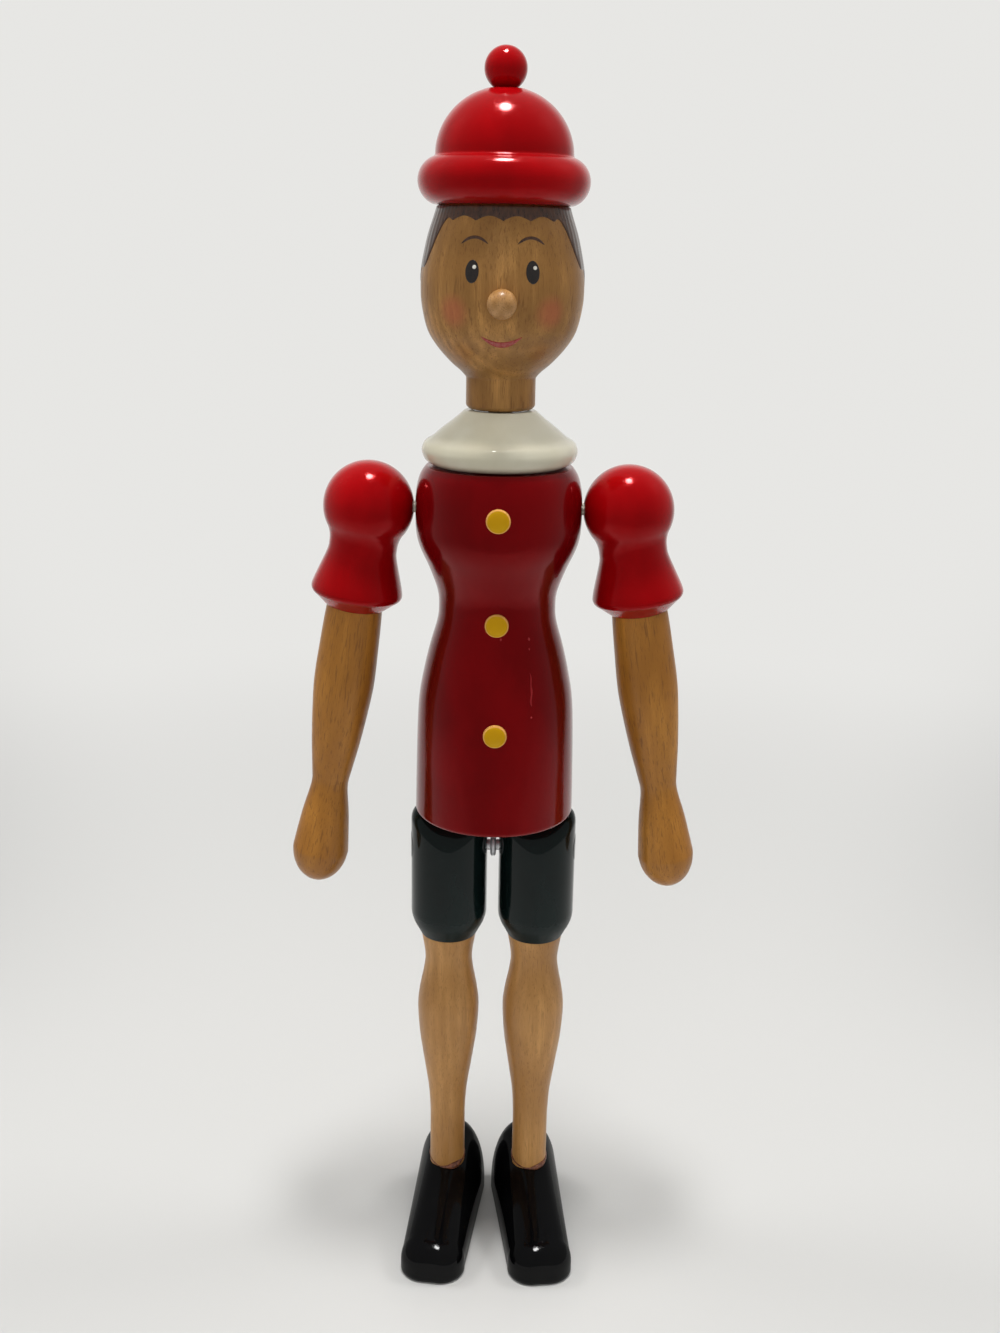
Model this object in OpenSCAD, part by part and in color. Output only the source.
// Turned and painted wooden doll. The head and the collar turn on the neck, the arms swing on
// an elastic cord through the shoulders, and the legs swing on a steel axle under the torso.
// Left and right are the doll's own: it faces -Y, its left side is at +X, and it stands on z = 0.

/* [Torso] */
// Height of the torso from the hem to the top face
torso_h = 91.6; // [86:0.1:100]
// Diameter at the hem
hem_d = 41.6; // [38:0.1:46]
// Radius of the rounded hem edge
hem_round = 0.8; // [0.4:0.1:1.5]
// Diameter at the waist
waist_d = 29.8; // [26:0.1:34]
// Height of the waist above the hem
waist_z = 55.4; // [50:0.1:58]
// Diameter at the chest
chest_d = 41.8; // [38:0.1:46]
// Depth of the widest part of the chest below the top face
chest_z = 11.1; // [9.6:0.1:15.6]
// Diameter of the flat top face under the collar
torso_top_d = 36.4; // [34:0.1:37]

/* [Buttons] */
// Diameter of a button
button_d = 5.9; // [4:0.1:8]
// Thickness of a button at its edge, half of it sunk in the seat
button_edge_h = 1.2; // [0.8:0.1:2]
// Height of a button's domed front
button_dome_h = 0.8; // [0.4:0.1:1.5]
// Depth of the top button below the torso's top face
button_top_z = 10.2; // [7.6:0.1:17.6]
// Height of the middle button above the hem
button_middle_z = 54.2; // [48:0.1:60]
// Height of the bottom button above the hem
button_bottom_z = 27.2; // [18:0.1:34]

/* [Collar] */
// Height of the collar
collar_h = 13.4; // [12:0.1:18]
// Diameter at the rim
collar_d = 38.6; // [35:0.1:42]
// Height of the rim above the collar's foot
collar_rim_z = 3.9; // [3:0.1:5]
// Diameter of the collar's foot
collar_foot_d = 33; // [30:0.1:35]
// Diameter of the collar's top face
collar_top_d = 17.4; // [16.6:0.1:20]

/* [Neck] */
// Diameter of the spigot on the torso that carries the collar
spigot_d = 12; // [10:0.1:12.6]
// Diameter of the dowel that the head turns on
neck_dowel_d = 6; // [4:0.1:7]
// Depth of the dowel's socket in the head
neck_socket_h = 16; // [12:0.5:20]
// Wood left between the neck bore and the shoulder bore
neck_web = 2; // [1.5:0.1:3]

/* [Head] */
// Height of the head with its neck
head_h = 47.3; // [44:0.1:54]
// Height of the straight neck
neck_h = 7.6; // [6:0.1:10]
// Diameter of the neck
neck_d = 17; // [14:0.1:20]
// Chamfer of the neck's lower edge
neck_chamfer = 0.8; // [0.4:0.1:1.2]
// Diameter of the head at its widest
head_d = 39.2; // [36:0.1:44]
// Height of the widest part above the neck's lower face
head_wide_z = 28.4; // [25:0.1:31]
// Diameter of the flat top under the cap
head_top_d = 31; // [28:0.1:33]

/* [Nose] */
// Diameter of the button nose
nose_d = 6.8; // [5:0.1:8]
// How far the nose's centre stands in front of its seat
nose_stand = 1.6; // [1:0.1:2.2]
// Height of the nose above the neck's lower face
nose_z = 25.6; // [23:0.1:30]
// Diameter of the nose's peg
nose_peg_d = 3; // [2:0.1:3.6]
// Length of the nose's peg
nose_peg_l = 6; // [4:0.5:7]

/* [Cap] */
// Diameter over the rolled brim
brim_d = 40.7; // [38:0.1:44]
// Thickness of the brim's roll
brim_roll_d = 11.3; // [9:0.1:12]
// Depth of the flat that seats the roll on the head
brim_flat = 0.25; // [0.15:0.05:0.5]
// Diameter of the crown where it leaves the brim
crown_d = 32.6; // [30:0.1:33.4]
// Height of the domed crown above the brim
crown_h = 15.4; // [13:0.1:20]
// Diameter of the dowel between the cap and the head
cap_dowel_d = 8; // [6:0.1:10]
// Depth of that dowel's socket in each of the two
cap_socket_h = 9; // [7:0.5:11]
// Diameter of the bobble on top
bobble_d = 10; // [8:0.1:13]
// Depth of the flat seat of the bobble
bobble_flat = 0.6; // [0.4:0.1:1]
// Diameter of the bobble's peg
bobble_peg_d = 3.6; // [2.5:0.1:4]
// Length of the bobble's peg
bobble_peg_l = 7; // [5:0.5:8]

/* [Shoulders] */
// Depth of the shoulder line below the torso's top face
shoulder_z = 10.7; // [9.6:0.1:14.6]
// Diameter of the elastic cord
cord_d = 3; // [2:0.1:3.4]
// Diameter of the knot at each end of the cord
knot_d = 6.2; // [5:0.1:6.8]

/* [Arms] */
// Outward slant of the arms, in degrees
arm_slant = 8.5; // [6:0.5:12]
// Diameter of the shoulder ball
ball_d = 22.8; // [20:0.1:25]
// Diameter of the groove under the ball
groove_d = 17.2; // [15:0.1:19]
// Distance of the groove's lower end below the ball's centre
groove_s = 11.2; // [10:0.1:13]
// Diameter of the cuff
cuff_d = 23.4; // [20:0.1:25]
// Distance of the cuff's edge below the ball's centre
cuff_s = 23.4; // [21:0.1:27]
// Radius of the cuff's rounded edge
cuff_round = 0.9; // [0.4:0.1:1.4]
// Height of the bevel under the cuff
cuff_bevel = 3.2; // [2:0.1:5]
// Diameter of the forearm where it leaves the sleeve
forearm_top_d = 14.2; // [12:0.1:16]
// Diameter of the forearm at its fullest
forearm_d = 15.6; // [14:0.1:18]
// Diameter of the wrist
wrist_d = 9.7; // [8:0.1:11]
// Diameter of the hand
hand_d = 14.8; // [12:0.1:17]
// Distance of the wrist below the sleeve
wrist_s = 49.4; // [44:0.1:55]
// Distance of the widest part of the hand below the wrist
hand_s = 18; // [15:0.1:22]
// Length of the rounded hand end below that
hand_end = 9.6; // [7:0.1:12]
// Diameter of the bore in the sleeve for the forearm's tenon and the knot
sleeve_bore_d = 8; // [7.4:0.1:9]

/* [Hips] */
// Gap between the two legs
leg_gap = 3.1; // [2.6:0.1:4]
// Diameter of the steel axle through both legs
axle_d = 3; // [2.4:0.1:3.6]
// Wire of the screw eye that carries the axle
eye_wire_d = 1.5; // [1.2:0.1:1.8]
// Diameter of the screw eye's thread
eye_thread_d = 2.4; // [2:0.1:3]
// Depth of the thread in the torso
eye_thread_l = 14; // [10:0.5:18]
// Diameter of the push-on cap at each end of the axle
retainer_d = 6.4; // [5:0.1:7]
// Thickness of that cap
retainer_h = 2.4; // [1.6:0.1:3]
// Diameter of the wooden plug over the cap
plug_d = 8; // [7.4:0.1:9]
// Thickness of the plug at its rim
plug_h = 1.6; // [1:0.1:2.4]

/* [Legs] */
// Diameter of the shorts
shorts_d = 20.5; // [18:0.1:22]
// Height of the shorts from their lower edge to their rounded top
shorts_h = 36.5; // [34:0.1:44]
// Extra radius of the rounded top over the shorts' own radius
roll_extra = 0.35; // [0.3:0.05:0.6]
// Width of the rounded upper corner
shorts_corner_w = 1.6; // [1:0.1:2]
// Height of the rounded upper corner
shorts_corner_h = 3.2; // [2:0.1:4]
// Height of the chamfer at the lower edge
shorts_chamfer_h = 5.3; // [3:0.1:7]
// Diameter at the lower edge of the shorts
shorts_foot_d = 14.9; // [13.6:0.1:17]
// Length of the bare shin between the shorts and the shoe
shin_h = 71.3; // [64:0.1:84]
// Diameter of the knee under the shorts
knee_d = 12.9; // [11:0.1:14.4]
// Distance of the knee below the shorts
knee_s = 6.5; // [5:0.1:9]
// Diameter of the calf
calf_d = 16.9; // [14.6:0.1:18]
// Distance of the calf below the shorts
calf_s = 22.5; // [19:0.1:27]
// Diameter of the ankle
ankle_d = 9.8; // [8.6:0.1:11]
// Distance of the ankle below the shorts
ankle_s = 57; // [52:0.1:60]
// Diameter of the tenon in the shorts
tenon_d = 9; // [7.5:0.1:10]
// Length of the tenon in the shorts
tenon_l = 14; // [10:0.5:16]

/* [Shoes] */
// Height of the shoe at the ankle
shoe_h = 19; // [16:0.1:22]
// Width of the shoe at the heel
shoe_w = 19.6; // [17:0.1:20.4]
// Width of the shoe at the toe
toe_w = 17.6; // [14:0.1:19]
// Radius of the toe's corners
toe_corner = 6.4; // [4:0.1:6.8]
// Reach of the toe in front of the ankle
toe_reach = 32; // [27:0.1:37]
// Reach of the heel behind the ankle
heel_reach = 18.6; // [14:0.1:20]
// Height of the shoe over the toe
toe_h = 10.4; // [8:0.1:12]
// Height of the upright wall at the sole
welt_h = 3; // [2:0.1:4]
// Bevel of the sole's edge
sole_bevel = 0.6; // [0.3:0.1:1]
// Outward turn of the toes, in degrees
toe_out = 6.5; // [0:0.5:10]
// Depth of the ankle's socket
ankle_socket_h = 10.5; // [8:0.5:12]

/* [Fits] */
// Radial clearance of a shaft that turns in its bore
run_gap = 0.08; // [0.05:0.01:0.1]
// Radial clearance of a glued peg in its socket
glue_gap = 0.05; // [0.02:0.01:0.08]
// Air between pieces that move past each other
air_gap = 0.3; // [0.25:0.05:0.4]
// Free depth under the end of a peg
end_gap = 0.5; // [0.3:0.1:0.8]

/* [Hidden] */
$fn = 64;

// Side of the body: the doll's left is at +X
left = 1;
right = -1;
// How far every cut runs past the face that it opens
overrun = 2;
// Steps of a curve between two of its points
curve_steps = 3;
// Steps of a round edge and of a domed end
edge_steps = 4;
dome_steps = 10;

// Finishes
red_lacquer = [0.58, 0.05, 0.08];
ivory_lacquer = [0.85, 0.83, 0.74];
dark_lacquer = [0.13, 0.16, 0.16];
black_lacquer = [0.04, 0.04, 0.045];
yellow_lacquer = [0.78, 0.57, 0.05];
beech = [0.70, 0.50, 0.30];
birch = [0.82, 0.70, 0.50];
steel = [0.66, 0.67, 0.69];
elastic = [0.88, 0.86, 0.80];

// Shares of the way from one widest or narrowest place of a profile to the next,
// each as a share of the height and a share of the change in radius
hip_shares = [[0.36, 0.06], [0.56, 0.15], [0.70, 0.37], [0.82, 0.63], [0.93, 0.92]];
chest_shares = [[0.18, 0.06], [0.42, 0.42], [0.62, 0.80], [0.78, 0.97]];
shoulder_shares = [[0.45, 0.08], [0.80, 0.45]];
rim_under_shares = [[0.30, 0.68], [0.65, 0.94]];
collar_shares = [[0.18, 0.07], [0.32, 0.26], [0.54, 0.49], [0.77, 0.76]];
jaw_shares = [[0.07, 0.12], [0.17, 0.34], [0.34, 0.63], [0.53, 0.85], [0.79, 0.97]];
temple_shares = [[0.25, 0.08], [0.62, 0.44], [0.86, 0.80]];
flare_shares = [[0.18, 0.14], [0.80, 0.86]];
forearm_high_share = 0.36;
hand_share = 0.46;
hand_rise_share = 0.54;
wrist_shares = [[0.30, 0.16], [0.62, 0.52], [0.86, 0.88]];
calf_shares = [[0.28, 0.16], [0.66, 0.74]];
shank_shares = [[0.25, 0.15], [0.52, 0.52], [0.78, 0.88]];

// Heights of the whole doll, from the floor up
shin_z = shoe_h;
shorts_z = shin_z + shin_h;
hem_z = shorts_z + shorts_h + air_gap;
torso_top_z = hem_z + torso_h;
collar_z = torso_top_z + air_gap;
head_z = collar_z + collar_h + air_gap;
cap_z = head_z + head_h;
shoulder_line_z = torso_top_z - shoulder_z;

// Middles of the shoe's round heel and of its two toe corners, from the ankle, and the heel's
// height, which carries on the slope from the toe to the ankle
heel_r = shoe_w / 2;
heel_y = heel_reach - heel_r;
toe_y = toe_corner - toe_reach;
toe_x = toe_w / 2 - toe_corner;
heel_h = toe_h + (shoe_h - toe_h) * (heel_y - toe_y) / -toe_y;

// The turning axis stands behind the middle of the footprint, so that the origin is
// below the centre of the whole doll
front_reach = toe_x * sin(toe_out) - toe_y * cos(toe_out) + toe_corner;
heel_back = heel_y * cos(toe_out) + heel_r;
back_reach = max(heel_back, max(chest_d, hem_d, brim_d, head_d) / 2);
axis_y = (front_reach - back_reach) / 2;

// Places of the arms and legs
ball_r = ball_d / 2;
ball_x = chest_d / 2 + air_gap + ball_r;
sleeve_end_s = cuff_s + cuff_bevel;
tenon_top_s = knot_d / 2 + end_gap;
shorts_r = shorts_d / 2;
leg_x = (leg_gap + shorts_d) / 2;
roll_r = shorts_r + roll_extra;
pivot_z = shorts_z + shorts_h - roll_r;

// Along the axle, from the middle of the doll outwards
plug_sink = shorts_r - sqrt(shorts_r * shorts_r - plug_d * plug_d / 4);
plug_back_x = leg_x + shorts_r - plug_sink - plug_h;
retainer_end_x = plug_back_x - air_gap;
retainer_x = retainer_end_x - retainer_h;
counterbore_x = retainer_x - air_gap;

// The neck's bore ends above the shoulder bore
cord_bore_r = cord_d / 2 + air_gap;
spigot_h = collar_h - air_gap;
neck_bore_z = torso_h - shoulder_z + cord_bore_r + neck_web;

// Points on the way from a to b, both as [radius, height]
function between(a, b, shares) = [
    for (s = shares) [a.x + (b.x - a.x) * s.y, a.y + (b.y - a.y) * s.x]
];

// Smooth curve through the points of a profile
function curve_point(a, b, c, d, t) =
    (2 * b + (c - a) * t + (2 * a - 5 * b + 4 * c - d) * t * t
    + (3 * b - a - 3 * c + d) * t * t * t) / 2;
function curve(p) = [
    for (i = [0 : len(p) - 2], k = [0 : curve_steps - 1])
        curve_point(p[max(i - 1, 0)], p[i], p[i + 1], p[min(i + 2, len(p) - 1)], k / curve_steps),
    p[len(p) - 1]
];

// Part of an ellipse about c, with its half width and half height, between two angles
function oval(c, half_w, half_h, from, to, steps) = [
    for (i = [0 : steps])
        let (a = from + (to - from) * i / steps)
        [c.x + half_w * cos(a), c.y + half_h * sin(a)]
];

// The same profile with its heights turned over
function hang(p) = [for (q = p) [q.x, -q.y]];

// A profile as pairs of height and radius
function by_height(p) = [for (q = p) [q.y, q.x]];

// The torso's side from the hem to the top face
hem_point = [hem_d / 2, hem_round];
waist_point = [waist_d / 2, waist_z];
chest_point = [chest_d / 2, torso_h - chest_z];
torso_top_point = [torso_top_d / 2, torso_h];
torso_side = curve(concat(
    [hem_point], between(hem_point, waist_point, hip_shares),
    [waist_point], between(waist_point, chest_point, chest_shares),
    [chest_point], between(chest_point, torso_top_point, shoulder_shares),
    [torso_top_point]
));

// The head's side from the neck to the flat top
neck_point = [neck_d / 2, neck_h];
head_point = [head_d / 2, head_wide_z];
head_top_point = [head_top_d / 2, head_h];
head_side = curve(concat(
    [neck_point], between(neck_point, head_point, jaw_shares),
    [head_point], between(head_point, head_top_point, temple_shares),
    [head_top_point]
));

// Heights of the buttons above the hem, from the top one down
button_heights = [torso_h - button_top_z, button_middle_z, button_bottom_z];

// Seats of the buttons and of the nose, as distances from the turning axis
function button_seat(z) =
    sqrt(pow(lookup(z, by_height(torso_side)), 2) - button_d * button_d / 4) - button_edge_h / 2;
nose_r = nose_d / 2;
nose_seat = sqrt(pow(lookup(nose_z, by_height(head_side)), 2) - nose_r * nose_r);

// Centre of the brim's roll, and the angle at which the flat cuts it
roll_c = [(brim_d - brim_roll_d) / 2, brim_roll_d / 2 - brim_flat];
roll_from = -asin(roll_c.y / (brim_roll_d / 2));
roll_to = acos((crown_d / 2 - roll_c.x) / (brim_roll_d / 2));
crown_z = roll_c.y + sin(roll_to) * brim_roll_d / 2;
bobble_seat_z = crown_z + crown_h - bobble_flat;

module turned(profile) {
    rotate_extrude() polygon(profile);
}

// A round bar along Z between two heights
module bar(d, from, to) {
    translate([0, 0, from]) cylinder(d = d, h = to - from);
}

// A round bar along X between two places
module cross_bar(d, from, to) {
    translate([from, 0, 0]) rotate([0, 90, 0]) cylinder(d = d, h = to - from);
}

// A round bar along -Y, from one distance in front of the axis to another
module front_bar(d, from, to) {
    rotate([90, 0, 0]) bar(d, from, to);
}

module on_axis(z) {
    translate([0, axis_y, z]) children();
}

module at_shoulder(side) {
    translate([side * ball_x, axis_y, shoulder_line_z]) children();
}

module along_arm(side) {
    at_shoulder(side) rotate([0, -side * arm_slant, 0]) children();
}

module on_leg(side, z) {
    translate([side * leg_x, axis_y, z]) children();
}

module at_pivot() {
    translate([0, axis_y, pivot_z]) children();
}

module torso() {
    color(red_lacquer) on_axis(hem_z) difference() {
        union() {
            turned(concat(
                [[0, 0]],
                oval([hem_d / 2 - hem_round, hem_round], hem_round, hem_round, -90, 0, edge_steps),
                torso_side,
                [[0, torso_h]]
            ));
            bar(spigot_d, torso_h - overrun, torso_h + spigot_h);
        }
        bar(neck_dowel_d + 2 * run_gap, neck_bore_z, torso_h + spigot_h + overrun);
        translate([0, 0, torso_h - shoulder_z]) cross_bar(2 * cord_bore_r, -chest_d, chest_d);
        bar(eye_thread_d + 2 * glue_gap, -overrun, eye_thread_l + end_gap);
        for (z = button_heights)
            translate([0, 0, z]) front_bar(button_d + 2 * glue_gap, button_seat(z), chest_d);
    }
}

module button(z) {
    color(yellow_lacquer) on_axis(hem_z + z) rotate([90, 0, 0]) translate([0, 0, button_seat(z)])
        turned(concat(
            [[0, 0], [button_d / 2, 0]],
            oval([0, button_edge_h], button_d / 2, button_dome_h, 0, 90, dome_steps)
        ));
}

module shoulder_cord() {
    color(elastic) translate([0, axis_y, shoulder_line_z]) union() {
        cross_bar(cord_d, -ball_x, ball_x);
        for (side = [left, right])
            translate([side * ball_x, 0, 0]) sphere(d = knot_d);
    }
}

module hip_eye() {
    ring_r = axle_d / 2 + glue_gap + eye_wire_d / 2;
    color(steel) at_pivot() union() {
        rotate([0, 90, 0]) rotate_extrude() translate([ring_r, 0]) circle(d = eye_wire_d);
        bar(eye_wire_d, ring_r, hem_z - pivot_z + overrun);
        bar(eye_thread_d, hem_z - pivot_z, hem_z - pivot_z + eye_thread_l);
    }
}

module hip_axle() {
    color(steel) at_pivot() cross_bar(axle_d, -retainer_end_x, retainer_end_x);
}

module hip_retainer(side) {
    color(steel) at_pivot() mirror([side == right ? 1 : 0, 0, 0]) difference() {
        cross_bar(retainer_d, retainer_x, retainer_end_x);
        cross_bar(axle_d + 2 * glue_gap, retainer_x - overrun, retainer_end_x + overrun);
    }
}

module collar() {
    foot = [collar_foot_d / 2, 0];
    rim = [collar_d / 2, collar_rim_z];
    top = [collar_top_d / 2, collar_h];
    bore_r = spigot_d / 2 + air_gap;
    color(ivory_lacquer) on_axis(collar_z) turned(concat(
        [[bore_r, 0]],
        curve(concat(
            [foot], between(foot, rim, rim_under_shares),
            [rim], between(rim, top, collar_shares), [top]
        )),
        [[bore_r, collar_h]]
    ));
}

module head() {
    color(beech) on_axis(head_z) difference() {
        turned(concat(
            [[0, 0], [neck_d / 2 - neck_chamfer, 0], [neck_d / 2, neck_chamfer]],
            head_side,
            [[0, head_h]]
        ));
        bar(neck_dowel_d + 2 * glue_gap, -overrun, neck_socket_h);
        bar(cap_dowel_d + 2 * glue_gap, head_h - cap_socket_h, head_h + overrun);
        translate([0, 0, nose_z]) {
            front_bar(2 * nose_r, nose_seat, head_d);
            front_bar(nose_peg_d + 2 * glue_gap, nose_seat - nose_peg_l - end_gap, head_d);
        }
    }
}

module neck_dowel() {
    from = hem_z + neck_bore_z + end_gap;
    to = head_z + neck_socket_h - end_gap;
    color(birch) on_axis(0) bar(neck_dowel_d, from, to);
}

module nose() {
    color(beech) on_axis(head_z + nose_z) union() {
        front_bar(nose_peg_d, nose_seat - nose_peg_l, nose_seat + nose_stand);
        intersection() {
            translate([0, -nose_seat - nose_stand, 0]) sphere(d = nose_d);
            front_bar(2 * nose_d, nose_seat, nose_seat + 2 * nose_d);
        }
    }
}

module cap() {
    color(red_lacquer) on_axis(cap_z) difference() {
        turned(concat(
            [[0, 0]],
            oval(roll_c, brim_roll_d / 2, brim_roll_d / 2, roll_from, roll_to, 2 * dome_steps),
            oval([0, crown_z], crown_d / 2, crown_h, 0, 90, dome_steps)
        ));
        bar(cap_dowel_d + 2 * glue_gap, -overrun, cap_socket_h);
        bar(crown_d, bobble_seat_z, bobble_seat_z + crown_h);
        bar(bobble_peg_d + 2 * glue_gap, bobble_seat_z - bobble_peg_l - end_gap, bobble_seat_z + overrun);
    }
}

module cap_dowel() {
    color(birch) on_axis(cap_z)
        bar(cap_dowel_d, end_gap - cap_socket_h, cap_socket_h - end_gap);
}

module cap_bobble() {
    color(red_lacquer) on_axis(cap_z + bobble_seat_z) union() {
        bar(bobble_peg_d, -bobble_peg_l, bobble_d / 2);
        intersection() {
            translate([0, 0, bobble_d / 2 - bobble_flat]) sphere(d = bobble_d);
            bar(2 * bobble_d, 0, bobble_d);
        }
    }
}

module sleeve(side) {
    groove = [groove_d / 2, groove_s];
    cuff = [cuff_d / 2, cuff_s - cuff_round];
    ball_edge = acos(groove_d / ball_d);
    color(red_lacquer) difference() {
        along_arm(side) difference() {
            turned(hang(concat(
                oval([0, 0], ball_r, ball_r, -90, ball_edge, 2 * dome_steps),
                curve(concat([groove], between(groove, cuff, flare_shares), [cuff])),
                oval([cuff_d / 2 - cuff_round, cuff_s - cuff_round], cuff_round, cuff_round, 0, 90,
                    edge_steps),
                [[forearm_top_d / 2, sleeve_end_s], [0, sleeve_end_s]]
            )));
            bar(sleeve_bore_d, -sleeve_end_s - overrun, sleeve_bore_d / 2);
        }
        at_shoulder(side) mirror([side == right ? 1 : 0, 0, 0])
            cross_bar(2 * cord_bore_r, -ball_r - overrun, 0);
    }
}

module forearm(side) {
    top = [forearm_top_d / 2, sleeve_end_s];
    full = [forearm_d / 2, sleeve_end_s + wrist_s * forearm_high_share];
    wrist = [wrist_d / 2, sleeve_end_s + wrist_s];
    hand = [hand_d / 2, wrist.y + hand_s];
    tenon_r = sleeve_bore_d / 2 - glue_gap;
    color(beech) along_arm(side) turned(hang(concat(
        [[0, tenon_top_s], [tenon_r, tenon_top_s], [tenon_r, sleeve_end_s]],
        curve(concat(
            [top, full], between(full, wrist, wrist_shares),
            [wrist], between(wrist, hand, [[hand_share, hand_rise_share]]), [hand]
        )),
        oval([0, hand.y], hand_d / 2, hand_end, 0, 90, dome_steps)
    )));
}

module shorts(side) {
    corner = [shorts_r - shorts_corner_w, shorts_h - shorts_corner_h];
    color(dark_lacquer) difference() {
        intersection() {
            on_leg(side, shorts_z) turned(concat(
                [[0, 0], [shorts_foot_d / 2, 0], [shorts_r, shorts_chamfer_h]],
                oval(corner, shorts_corner_w, shorts_corner_h, 0, 90, edge_steps),
                [[0, shorts_h]]
            ));
            on_leg(side, pivot_z) union() {
                cross_bar(2 * roll_r, -shorts_d, shorts_d);
                translate([-shorts_d, -roll_r, -shorts_h])
                    cube([2 * shorts_d, 2 * roll_r, shorts_h]);
            }
        }
        on_leg(side, shorts_z) bar(tenon_d + 2 * glue_gap, -overrun, tenon_l + end_gap);
        at_pivot() mirror([side == right ? 1 : 0, 0, 0]) {
            cross_bar(axle_d + 2 * run_gap, 0, leg_x + shorts_d);
            cross_bar(plug_d + 2 * glue_gap, counterbore_x, leg_x + shorts_d);
        }
    }
}

module hip_plug(side) {
    color(dark_lacquer) intersection() {
        at_pivot() mirror([side == right ? 1 : 0, 0, 0])
            cross_bar(plug_d, plug_back_x, leg_x + shorts_d);
        on_leg(side, 0) bar(shorts_d, shorts_z, hem_z);
    }
}

module shin(side) {
    top = [shorts_foot_d / 2, 0];
    knee = [knee_d / 2, knee_s];
    calf = [calf_d / 2, calf_s];
    ankle = [ankle_d / 2, ankle_s];
    foot_s = shin_h + ankle_socket_h - end_gap;
    tenon_r = tenon_d / 2;
    color(beech) on_leg(side, shorts_z) turned(hang(concat(
        [[0, -tenon_l], [tenon_r, -tenon_l], [tenon_r, 0]],
        curve(concat(
            [top, knee], between(knee, calf, calf_shares),
            [calf], between(calf, ankle, shank_shares), [ankle]
        )),
        [[ankle_d / 2, foot_s], [0, foot_s]]
    )));
}

// Domed post of the shoe, on a straight welt with a bevelled sole
module shoe_post(x, y, r, h) {
    translate([x, y, 0]) {
        cylinder(r = r - sole_bevel, h = sole_bevel, $fn = 32);
        bar(2 * r, sole_bevel, welt_h, $fn = 32);
        translate([0, 0, welt_h]) scale([r, r, h - welt_h]) sphere(r = 1, $fn = 32);
    }
}

module shoe(side) {
    color(black_lacquer) on_leg(side, 0) rotate([0, 0, side * toe_out]) difference() {
        hull() {
            shoe_post(0, heel_y, heel_r, heel_h);
            for (x = [-toe_x, toe_x])
                shoe_post(x, toe_y, toe_corner, toe_h);
        }
        translate([-shoe_w, -2 * toe_reach, -shoe_h]) cube([2 * shoe_w, 4 * toe_reach, shoe_h]);
        bar(ankle_d + 2 * glue_gap, shoe_h - ankle_socket_h, heel_h + overrun);
    }
}

torso();
button(button_heights[0]);  // button_top
button(button_heights[1]);  // button_middle
button(button_heights[2]);  // button_bottom
shoulder_cord();
hip_eye();
hip_axle();
hip_retainer(left);  // hip_retainer_left
hip_retainer(right);  // hip_retainer_right
collar();
head();
neck_dowel();
nose();
cap();
cap_dowel();
cap_bobble();
sleeve(left);  // sleeve_left
sleeve(right);  // sleeve_right
forearm(left);  // forearm_left
forearm(right);  // forearm_right
shorts(left);  // shorts_left
shorts(right);  // shorts_right
hip_plug(left);  // hip_plug_left
hip_plug(right);  // hip_plug_right
shin(left);  // shin_left
shin(right);  // shin_right
shoe(left);  // shoe_left
shoe(right);  // shoe_right
